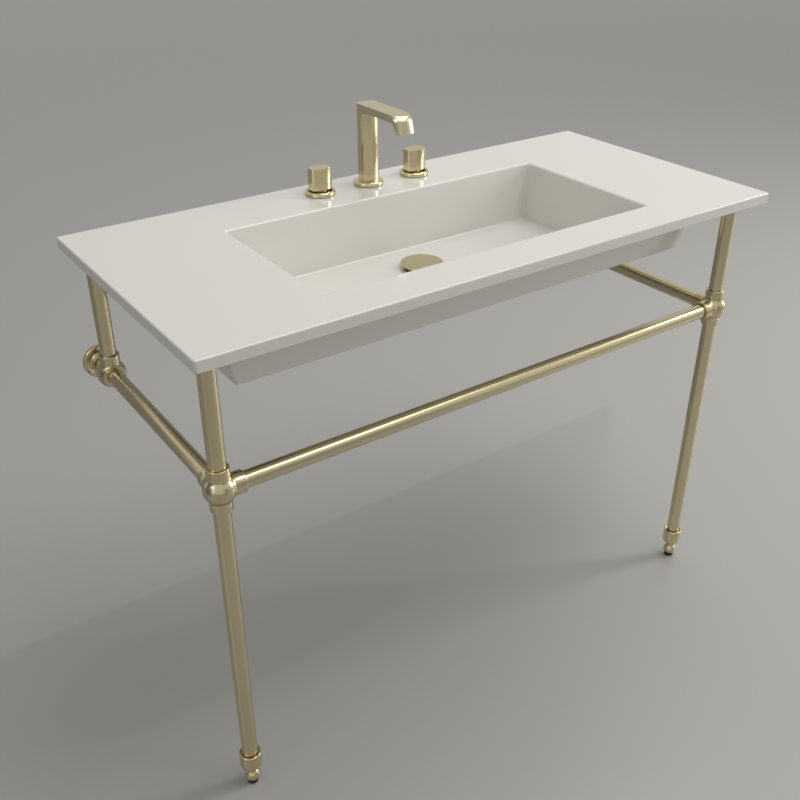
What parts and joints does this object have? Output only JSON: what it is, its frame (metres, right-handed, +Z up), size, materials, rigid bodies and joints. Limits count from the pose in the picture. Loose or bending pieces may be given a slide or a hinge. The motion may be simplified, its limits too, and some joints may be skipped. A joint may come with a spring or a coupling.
{
  "type": "bathroom console sink",
  "caption": "Wide rectangular basin with a flat deck on a tubular console stand with front legs and wall flanges, a widespread two-knob faucet and a push drain.",
  "frame": {"origin": "on the floor below the centre of the deck, at the bottom centre of the part's box", "axes": "+X along the wall towards the cold side, +Y towards the wall, +Z up"},
  "size_m": [1.1, 0.51, 0.974],
  "materials": {
    "glaze": "gloss",
    "satin_gold": "satin",
    "raw_brass": "machined",
    "steel": "brushed",
    "black_rubber": "matte"
  },
  "bodies": {
    "sink": {"basin": "glaze", "spout_body": "satin_gold", "spout_shank": "raw_brass", "spout_tee": "raw_brass", "aerator": "steel", "deck_rings": "satin_gold", "deck_gaskets": "black_rubber", "rubber_washers": "black_rubber", "steel_washers": "steel", "locknuts": "raw_brass", "hot_cartridge": "raw_brass", "hot_valve_body": "raw_brass", "cold_cartridge": "raw_brass", "cold_valve_body": "raw_brass", "hot_feed_tube": "raw_brass", "cold_feed_tube": "raw_brass", "feed_tube_nuts": "raw_brass", "push_cartridge": "steel", "push_spring": "steel", "drain_flange": "satin_gold", "drain_gasket": "black_rubber", "drain_locknut": "raw_brass", "drain_outlet": "satin_gold", "left_front_fitting": "satin_gold", "right_front_fitting": "satin_gold", "left_rear_fitting": "satin_gold", "right_rear_fitting": "satin_gold", "left_front_post": "satin_gold", "right_front_post": "satin_gold", "left_rear_post": "satin_gold", "right_rear_post": "satin_gold", "post_collars": "satin_gold", "post_buffers": "black_rubber", "front_rail": "satin_gold", "left_side_rail": "satin_gold", "right_side_rail": "satin_gold", "left_wall_stub": "satin_gold", "right_wall_stub": "satin_gold", "left_wall_flange": "satin_gold", "right_wall_flange": "satin_gold", "left_leg": "satin_gold", "right_leg": "satin_gold", "left_foot_socket": "satin_gold", "right_foot_socket": "satin_gold", "set_screws": "steel"},
    "hot_knob": {"hot_knob": "satin_gold", "hot_stem": "raw_brass", "hot_knob_screw": "steel"},
    "cold_knob": {"cold_knob": "satin_gold", "cold_stem": "raw_brass", "cold_knob_screw": "steel"},
    "drain_plug": {"drain_cap": "satin_gold", "drain_cap_seal": "black_rubber", "push_stem": "steel"},
    "left_pad": {"left_foot_pad": "black_rubber"},
    "left_foot": {"left_foot": "satin_gold"},
    "right_pad": {"right_foot_pad": "black_rubber"},
    "right_foot": {"right_foot": "satin_gold"}
  },
  "joints": [
    {"name": "hot_knob_turn", "type": "hinge", "parent": "sink", "child": "hot_knob", "pos_m": [-0.1016, 0.195, 0.858], "axis": [0, 0, 1], "range_deg": [0, 90]},
    {"name": "cold_knob_turn", "type": "hinge", "parent": "sink", "child": "cold_knob", "pos_m": [0.1016, 0.195, 0.858], "axis": [0, 0, 1], "range_deg": [-90, 0]},
    {"name": "drain_plug_push", "type": "slide", "parent": "sink", "child": "drain_plug", "axis": [0, 0, 1], "range_m": [-0.0054, 0], "stiffness_N_per_m": 600, "springref_m": 0.006, "deforming": ["push_spring"]},
    {"name": "left_foot_height", "type": "slide", "parent": "sink", "child": "left_pad", "axis": [0, 0, -1], "range_m": [0, 0.0075]},
    {"name": "left_foot_turn", "type": "hinge", "parent": "left_pad", "child": "left_foot", "pos_m": [-0.515, -0.205, 0.0165], "axis": [0, 0, -1], "range_deg": [0, 1800]},
    {"name": "right_foot_height", "type": "slide", "parent": "sink", "child": "right_pad", "axis": [0, 0, -1], "range_m": [0, 0.0075]},
    {"name": "right_foot_turn", "type": "hinge", "parent": "right_pad", "child": "right_foot", "pos_m": [0.515, -0.205, 0.0165], "axis": [0, 0, -1], "range_deg": [0, 1800]}
  ],
  "couplings": [
    {"joint": "left_foot_height", "follows": "left_foot_turn", "m_per_rad": 0.0002387},
    {"joint": "right_foot_height", "follows": "right_foot_turn", "m_per_rad": 0.0002387}
  ]
}
